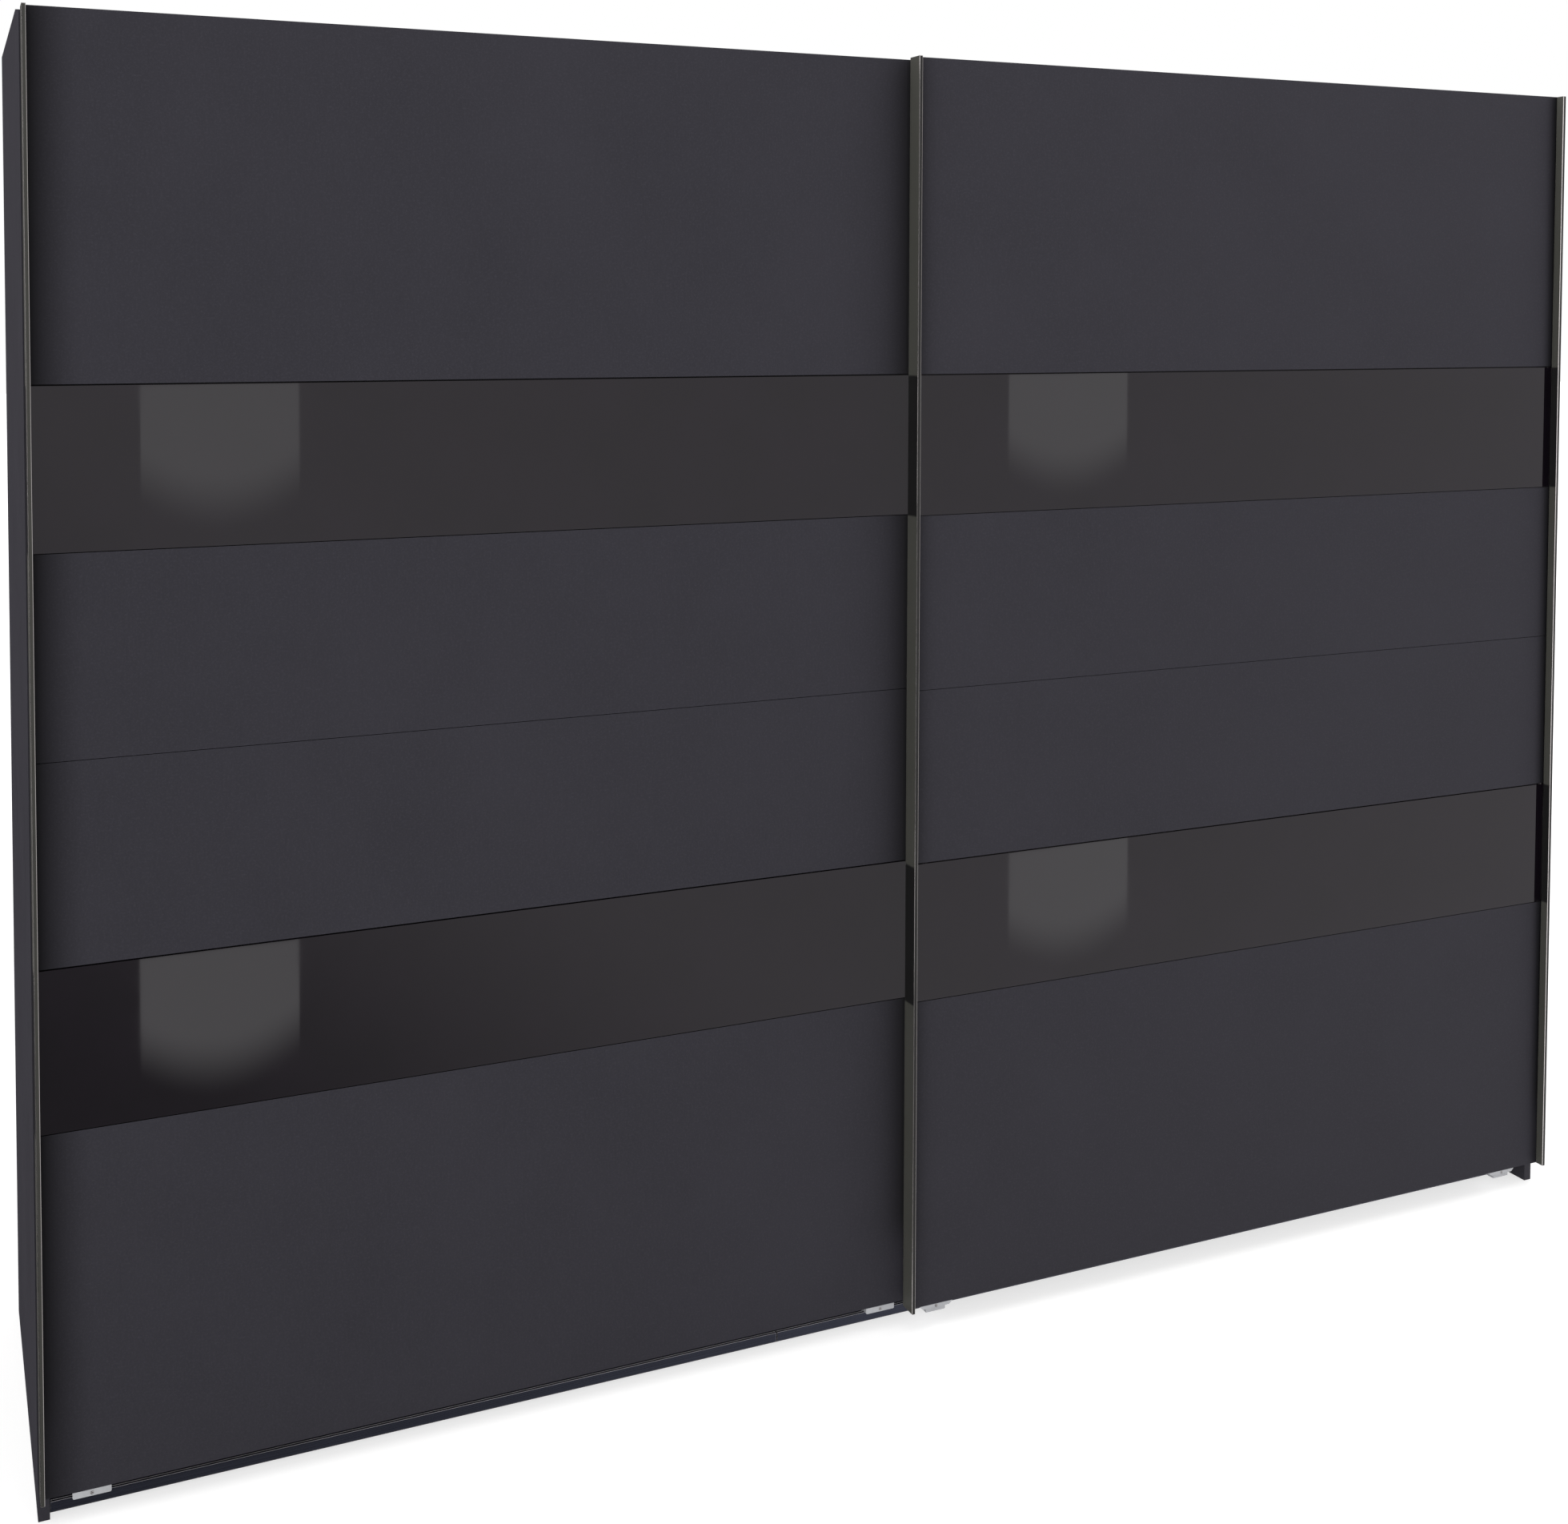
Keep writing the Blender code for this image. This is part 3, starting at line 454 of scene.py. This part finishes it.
def make_materials():
    """Every finish, by the record's slot name or by its piece."""
    # Painted highlights: a lighter aluminium for the rounded edges of the handle rails.
    edge_highlight = aluminium_material("handle_edge_highlight", RAIL_EDGE_HIGHLIGHT, ALONG_Z, 0.26)
    return {
        "graphite_decor": decor_material(),
        "left_door_leaf": leaf_material("left_door_melamine", leaf_shadows("left_door")),
        "right_door_leaf": leaf_material("right_door_melamine", leaf_shadows("right_door")),
        "black_glass": glass_material(),
        "left_rail": rail_material("left_handle_aluminium", LEFT_RAIL_FRONT_LIT),
        "right_rail": rail_material("right_handle_aluminium", RIGHT_RAIL_FRONT_SHADED),
        "left_rail_edge": edge_highlight,
        "right_rail_edge": edge_highlight,
        "guide": aluminium_material("guide_aluminium", GUIDE_BODY, ALONG_X, 0.28),
        "guide_edge": aluminium_material("guide_edge_highlight", GUIDE_EDGE_HIGHLIGHT, ALONG_X, 0.30),
        "track": aluminium_material("track_aluminium", TRACK_BODY, ALONG_X, 0.34),
        "track_edge": aluminium_material("track_edge_highlight", TRACK_EDGE_HIGHLIGHT, ALONG_X, 0.30),
        "zinc_steel": steel_material(),
        "chrome_tube": chrome_material(),
        "grey_plastic": plastic_material("grey_plastic", GUIDE_PLASTIC, 0.38, 0.5),
        "black_nylon": plastic_material("black_nylon", NYLON, 0.35, 0.5),
        "fibreboard": fibreboard_material(),
    }


def bevel(piece, width):
    """Rounds a piece's edges without moving its faces, once its loose faces are welded."""
    weld = piece.modifiers.new("weld", "WELD")
    weld.merge_threshold = WELD_REACH
    made = piece.modifiers.new("edge_round", "BEVEL")
    made.width = width
    made.segments = 2
    made.limit_method = "ANGLE"
    made.angle_limit = math.radians(40)
    return made


WELD_REACH = 0.00001
EDGE_ROUND = {
    "graphite_decor": 0.0004,
    "black_glass": 0.0006,
    "left_rail": 0.0008,
    "right_rail": 0.0008,
    "guide": 0.00045,
    "track": 0.0004,
    "fibreboard": 0.0003,
    "zinc_steel": 0.0004,
    "grey_plastic": 0.0006,
    "black_nylon": 0.0003,
}


def aluminium_finish(name):
    """Which aluminium a node is made of."""
    if "handle_rail" in name or "edge_strip" in name:
        return name.split("_door_")[0] + "_rail"
    return "guide" if "guide_rail" in name else "track"


def dress_nodes(materials):
    """Gives each solid its material and rounded edges."""
    slots = {part["node"]: part["material_slot"] for part in frame["record"]["subparts"]}
    for name, node in NODES.items():
        slot = slots[name]
        finish = slot
        if slot == "dark_aluminium":
            finish = aluminium_finish(name)
        if "_leaf_" in name:
            finish = name.split("_leaf_")[0] + "_leaf"
        node.data.materials.clear()
        node.data.materials.append(materials[finish])
        width = EDGE_ROUND.get(finish, EDGE_ROUND.get(slot))
        if width:
            rounded = bevel(node, width)
            # Rounded aluminium edges take a lighter finish, a painted highlight.
            if finish + "_edge" in materials:
                node.data.materials.append(materials[finish + "_edge"])
                rounded.material = 1


# ---------------------------------------------------------------- small fittings
def revolve(name, profile, steps=24):
    """A round closed mesh from (radius, height) points running from the bottom up, about +Z."""
    bm = bmesh.new()
    rings = []
    for radius, height in profile:
        if radius == 0.0:
            rings.append([bm.verts.new((0.0, 0.0, height))])
            continue
        ring = []
        for step in range(steps):
            angle = 2 * math.pi * step / steps
            ring.append(bm.verts.new((radius * math.cos(angle), radius * math.sin(angle), height)))
        rings.append(ring)
    for below, above in zip(rings, rings[1:]):
        for step in range(steps):
            after = (step + 1) % steps
            corners = [below[step % len(below)], below[after % len(below)]]
            corners += [above[after % len(above)], above[step % len(above)]]
            unique = list(dict.fromkeys(corners))
            bm.faces.new(unique)
    bmesh.ops.recalc_face_normals(bm, faces=bm.faces)
    mesh = bpy.data.meshes.new(name)
    bm.to_mesh(mesh)
    bm.free()
    for face in mesh.polygons:
        face.use_smooth = True
    return mesh


def fitting(name, mesh, place, turn, body, material):
    """A small piece that rides on a body."""
    piece = bpy.data.objects.new(name, mesh)
    piece.location = place
    piece.rotation_euler = turn
    bpy.context.scene.collection.objects.link(piece)
    mesh.materials.clear()
    mesh.materials.append(material)
    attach(piece, body)
    return piece


ORIGIN = (0.0, 0.0, 0.0)
FACING_FRONT = (math.radians(90), 0.0, 0.0)
FACING_BACK = (math.radians(-90), 0.0, 0.0)

# A screw's outline, from its shank up over the head and into the recess, as shares of the head's
# radius and height.
SCREW_SHAPE = [
    (0.0, -1.0),
    (0.45, -1.0),
    (0.5, 0.0),
    (0.96, 0.0),
    (1.0, 0.25),
    (0.93, 0.62),
    (0.72, 0.9),
    (0.42, 1.0),
    (0.36, 0.95),
    (0.3, 0.35),
    (0.0, 0.3),
]
# Screws: head radius and height. Drop: from the leaf's lower edge to the middle of the guide's face.
GUIDE_SCREW = (0.0024, 0.0008)
GUIDE_SCREW_DROP = {"left_door": 0.0048, "right_door": 0.0032}
HANGER_SCREW = (0.0036, 0.0016)
HANGER_SCREW_ASIDE = 0.012
HANGER_SCREW_UP = (0.010, 0.030)
HANGER_STEEL = {"left_door": 0.002, "right_door": 0.0015}

NAIL_INSET = 0.012
NAIL_PITCH_ACROSS = 0.125
NAIL_PITCH_UP = 0.16
NAIL_STEPS = 12
NAIL_PROFILE = [
    (0.0, -0.004),
    (0.0008, -0.004),
    (0.0008, 0.0),
    (0.0024, 0.0),
    (0.0018, 0.0006),
    (0.0, 0.0008),
]

PIN_INSET = 0.050
PIN_DROP = 0.0048
PIN_PROFILE = [
    (0.0, 0.0),
    (0.0045, 0.0),
    (0.0045, 0.0010),
    (0.0026, 0.0014),
    (0.0025, 0.0075),
    (0.0019, 0.0082),
    (0.0, 0.0082),
]


def screw_mesh(name, head_radius, head_height):
    """A pan-head screw with a round drive recess; its seat is at height 0."""
    profile = [(across * head_radius, up * head_height) for across, up in SCREW_SHAPE]
    return revolve(name, profile)


def screw_on(name, radius, height, place, turn, body, materials):
    """A zinc screw on a face."""
    mesh = screw_mesh(name, radius, height)
    fitting(name, mesh, place, turn, body, materials["zinc_steel"])


def make_guide_screws(materials):
    """The screw in the middle of each door guide's face."""
    for door, drop in GUIDE_SCREW_DROP.items():
        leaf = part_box(door + "_leaf_lower")[0]
        for word in ("left", "right"):
            node = "%s_guide_%s" % (door, word)
            low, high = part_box(node)
            front = low[1] if door == "right_door" else leaf[1]
            place = ((low[0] + high[0]) / 2, front, leaf[2] - drop)
            screw_on(node + "_screw", *GUIDE_SCREW, place, FACING_FRONT, door, materials)


def make_hanger_screws(materials):
    """Four screws hold each hanger's leg to the back of its leaf."""
    for door, thickness in HANGER_STEEL.items():
        for word in ("left", "right"):
            node = "%s_hanger_%s" % (door, word)
            low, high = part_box(node)
            middle = (low[0] + high[0]) / 2
            count = 0
            for across in (-HANGER_SCREW_ASIDE, HANGER_SCREW_ASIDE):
                for up in HANGER_SCREW_UP:
                    count += 1
                    place = (middle + across, low[1] + thickness, low[2] + up)
                    name = "%s_screw_%d" % (node, count)
                    screw_on(name, *HANGER_SCREW, place, FACING_BACK, door, materials)


def spread_out(low, high, pitch):
    """Evenly spaced places between two ends, about a pitch apart."""
    count = max(1, round((high - low) / pitch))
    return [low + (high - low) * index / count for index in range(count + 1)]


def make_back_nails(materials):
    """Nails round the edges of each back panel."""
    for index in range(1, 5):
        node = "back_panel_%d" % index
        low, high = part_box(node)
        left = low[0] + NAIL_INSET
        right = high[0] - NAIL_INSET
        bottom = low[2] + NAIL_INSET
        top = high[2] - NAIL_INSET
        spots = []
        for x in spread_out(left, right, NAIL_PITCH_ACROSS):
            spots += [(x, bottom), (x, top)]
        outer = left if index in (1, 3) else right
        for z in spread_out(bottom, top, NAIL_PITCH_UP)[1:-1]:
            spots.append((outer, z))
        bm = bmesh.new()
        nail = revolve("nail", NAIL_PROFILE, NAIL_STEPS)
        turn = Matrix.Rotation(FACING_BACK[0], 3, "X")
        for x, z in spots:
            before = len(bm.verts)
            bm.from_mesh(nail)
            bm.verts.ensure_lookup_table()
            fresh = bm.verts[before:]
            bmesh.ops.rotate(bm, verts=fresh, cent=ORIGIN, matrix=turn)
            bmesh.ops.translate(bm, verts=fresh, vec=(x, high[1], z))
        name = node + "_nails"
        mesh = bpy.data.meshes.new(name)
        bm.to_mesh(mesh)
        bm.free()
        bpy.data.meshes.remove(nail)
        fitting(name, mesh, ORIGIN, ORIGIN, "carcass", materials["zinc_steel"])


def make_shelf_pins(materials):
    """Four steel pins under each hat shelf."""
    for word in ("left", "right"):
        low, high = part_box("hat_shelf_" + word)
        count = 0
        for x, inward in ((low[0], 1), (high[0], -1)):
            for y in (low[1] + PIN_INSET, high[1] - PIN_INSET):
                count += 1
                place = (x, y, low[2] - PIN_DROP)
                turn = (0.0, math.radians(90 * inward), 0.0)
                name = "shelf_pin_%s_%d" % (word, count)
                mesh = revolve(name, PIN_PROFILE)
                fitting(name, mesh, place, turn, "carcass", materials["zinc_steel"])


def make_fittings(materials):
    """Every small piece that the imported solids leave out."""
    make_guide_screws(materials)
    make_hanger_screws(materials)
    make_back_nails(materials)
    make_shelf_pins(materials)


# ---------------------------------------------------------------- stage
def floor_material():
    """Pale paper that brightens into the white backdrop far from the wardrobe."""
    shade = Shade("pale_floor")
    cloud = shade.noise(scale=0.8, detail=3.0, roughness=0.5)
    shade.colour(shade.mix(shade.spread(cloud, 0.0, 1.0), *FLOOR_PAPER))
    shade.set(Roughness=0.9, Specular_IOR_Level=0.1, Emission_Color=(*WHITE, 1.0))
    distance = shade.node("VectorMath", operation="LENGTH")
    shade.link(shade.place, distance.inputs[0])
    glow = shade.spread(distance.outputs["Value"], FLOOR_GLOW, 1.0, *FLOOR_FADE)
    shade.link(glow, shade.shader.inputs["Emission Strength"])
    return shade.material


def make_floor():
    """A wide plain floor just under the feet."""
    mesh = bpy.data.meshes.new("floor")
    bm = bmesh.new()
    bmesh.ops.create_grid(bm, x_segments=1, y_segments=1, size=FLOOR_SIZE)
    bm.to_mesh(mesh)
    bm.free()
    floor = bpy.data.objects.new("floor", mesh)
    floor.location = (0.0, 0.0, -FLOOR_GAP)
    mesh.materials.append(floor_material())
    bpy.context.scene.collection.objects.link(floor)
    floor.visible_glossy = False


def background(tree, strength_source, colour):
    """A background shader of one colour, its strength a number or a socket."""
    made = tree.nodes.new("ShaderNodeBackground")
    made.inputs["Color"].default_value = (*colour, 1.0)
    if isinstance(strength_source, float):
        made.inputs["Strength"].default_value = strength_source
    else:
        tree.links.new(strength_source, made.inputs["Strength"])
    return made.outputs["Background"]


def ramp(tree, source, low, high, start, end):
    """A smooth step of a source from low to high."""
    made = tree.nodes.new("ShaderNodeMapRange")
    made.interpolation_type = "SMOOTHSTEP"
    tree.links.new(source, made.inputs["Value"])
    made.inputs["From Min"].default_value = start
    made.inputs["From Max"].default_value = end
    made.inputs["To Min"].default_value = low
    made.inputs["To Max"].default_value = high
    return made.outputs["Result"]


def product(tree, first, second):
    """Two sources multiplied."""
    made = tree.nodes.new("ShaderNodeMath")
    made.operation = "MULTIPLY"
    tree.links.new(first, made.inputs[0])
    tree.links.new(second, made.inputs[1])
    return made.outputs["Value"]


def weighted(tree, first, weight, second):
    """A source times a weight, plus another source."""
    made = tree.nodes.new("ShaderNodeMath")
    made.operation = "MULTIPLY_ADD"
    made.inputs[1].default_value = weight
    tree.links.new(first, made.inputs[0])
    tree.links.new(second, made.inputs[2])
    return made.outputs["Value"]


def make_world():
    """White behind everything, an even soft light, and a room for gloss that is dark at the back."""
    world = bpy.data.worlds.new("soft_room")
    world.use_nodes = True
    world.cycles.sampling_method = "NONE"
    tree = world.node_tree
    tree.nodes.clear()
    output = tree.nodes.new("ShaderNodeOutputWorld")
    coords = tree.nodes.new("ShaderNodeTexCoord")
    axes = tree.nodes.new("ShaderNodeSeparateXYZ")
    tree.links.new(coords.outputs["Generated"], axes.inputs["Vector"])
    room = ramp(tree, axes.outputs["Y"], ROOM_LIGHT, ROOM_BACK, *ROOM_TURN)
    low_corner = weighted(tree, axes.outputs["Z"], CORNER_TILT, axes.outputs["X"])
    corner = ramp(tree, low_corner, CORNER_DIM, 1.0, *CORNER_TURN)
    left_gap = ramp(tree, axes.outputs["X"], LEFT_DIM, 1.0, *LEFT_DIM_TURN)
    left_light = ramp(tree, axes.outputs["X"], LEFT_LIGHT, 0.0, *LEFT_LIGHT_TURN)
    ahead = product(tree, product(tree, room, corner), left_gap)
    gloss = weighted(tree, ahead, 1.0, left_light)
    path = tree.nodes.new("ShaderNodeLightPath")
    shaders = background(tree, ROOM_LIGHT, ROOM_COLOUR)
    glossy = background(tree, gloss, GLOSS_COLOUR)
    seen = background(tree, 1.0, WHITE)
    for ray, shader in (("Is Glossy Ray", glossy), ("Is Camera Ray", seen)):
        mix = tree.nodes.new("ShaderNodeMixShader")
        tree.links.new(path.outputs[ray], mix.inputs["Fac"])
        tree.links.new(shaders, mix.inputs[1])
        tree.links.new(shader, mix.inputs[2])
        shaders = mix.outputs["Shader"]
    tree.links.new(shaders, output.inputs["Surface"])
    bpy.context.scene.world = world


def make_lamp():
    """A large soft lamp overhead, unseen in gloss."""
    data = bpy.data.lights.new("overhead", "AREA")
    data.shape = "RECTANGLE"
    data.size = LAMP_SIZE[0]
    data.size_y = LAMP_SIZE[1]
    data.energy = LAMP_POWER
    lamp = bpy.data.objects.new("overhead", data)
    lamp.location = LAMP_PLACE
    aim = Vector(LAMP_TARGET) - Vector(LAMP_PLACE)
    lamp.rotation_euler = aim.to_track_quat("-Z", "Y").to_euler()
    lamp.visible_glossy = False
    bpy.context.scene.collection.objects.link(lamp)


def softbox_material():
    """Light that is even at the top and fades out below along a bowl-shaped edge."""
    material = bpy.data.materials.new("softbox")
    material.use_nodes = True
    tree = material.node_tree
    tree.nodes.clear()
    output = tree.nodes.new("ShaderNodeOutputMaterial")
    coords = tree.nodes.new("ShaderNodeTexCoord")
    axes = tree.nodes.new("ShaderNodeSeparateXYZ")
    tree.links.new(coords.outputs["Generated"], axes.inputs["Vector"])
    across = tree.nodes.new("ShaderNodeMath")
    across.operation = "SUBTRACT"
    across.inputs[1].default_value = 0.5
    tree.links.new(axes.outputs["X"], across.inputs[0])
    bowl = product(tree, across.outputs["Value"], across.outputs["Value"])
    height = weighted(tree, bowl, -SOFTBOX_BOWL, axes.outputs["Y"])
    solid = ramp(tree, height, 0.0, 1.0, *SOFTBOX_FADE)
    glow = tree.nodes.new("ShaderNodeEmission")
    glow.inputs["Strength"].default_value = SOFTBOX_GLOW
    glow.inputs["Color"].default_value = (*SOFTBOX_COLOUR, 1.0)
    clear = tree.nodes.new("ShaderNodeBsdfTransparent")
    mix = tree.nodes.new("ShaderNodeMixShader")
    tree.links.new(solid, mix.inputs["Fac"])
    tree.links.new(clear.outputs["BSDF"], mix.inputs[1])
    tree.links.new(glow.outputs["Emission"], mix.inputs[2])
    tree.links.new(mix.outputs["Shader"], output.inputs["Surface"])
    return material


def make_softboxes():
    """Four small light panels, placed so that each glass band reflects one to the camera."""
    material = softbox_material()
    receivers = bpy.data.collections.new("softbox_receivers")
    for name, node in NODES.items():
        if "glass" in name:
            receivers.objects.link(node)
    for glass, (left, right) in SOFTBOX_SPANS.items():
        low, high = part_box(glass)
        face = low[1]
        beyond = SOFTBOX_AWAY / (face - CAMERA_PLACE[1])
        edges = []
        for value, eye in ((left, 0), (right, 0), (low[2], 2), (high[2], 2)):
            edges.append(value + (value - CAMERA_PLACE[eye]) * beyond)
        x_low, x_high, z_low, z_high = edges
        mesh = bpy.data.meshes.new("softbox")
        bm = bmesh.new()
        corners = [(x_low, z_low), (x_high, z_low), (x_high, z_high), (x_low, z_high)]
        bm.faces.new([bm.verts.new((x, z, 0.0)) for x, z in corners])
        bm.to_mesh(mesh)
        bm.free()
        mesh.materials.append(material)
        panel = bpy.data.objects.new("softbox_" + glass, mesh)
        panel.location = (0.0, face - SOFTBOX_AWAY, 0.0)
        panel.rotation_euler = (math.radians(90), 0.0, 0.0)
        bpy.context.scene.collection.objects.link(panel)
        panel.visible_camera = False
        panel.visible_diffuse = False
        panel.visible_shadow = False
        panel.visible_transmission = False
        panel.light_linking.receiver_collection = receivers


def make_camera():
    """The camera at the fitted place."""
    data = bpy.data.cameras.new("camera")
    data.lens = CAMERA_LENS
    data.sensor_width = SENSOR_WIDTH
    data.shift_x = CAMERA_SHIFT[0]
    data.shift_y = CAMERA_SHIFT[1]
    data.clip_end = CLIP_END
    camera = bpy.data.objects.new("camera", data)
    camera.location = CAMERA_PLACE
    camera.rotation_euler = (math.radians(90 - CAMERA_DIP), 0.0, math.radians(-CAMERA_TURN))
    bpy.context.scene.collection.objects.link(camera)
    bpy.context.scene.camera = camera


def main():
    """Dresses the frame and sets the stage."""
    materials = make_materials()
    dress_nodes(materials)
    make_fittings(materials)
    for name in HIDDEN_IN_GLASS:
        NODES["right_door_" + name].visible_glossy = False
    make_floor()
    make_world()
    make_lamp()
    make_softboxes()
    make_camera()
    bpy.context.scene.view_settings.view_transform = "Standard"


main()
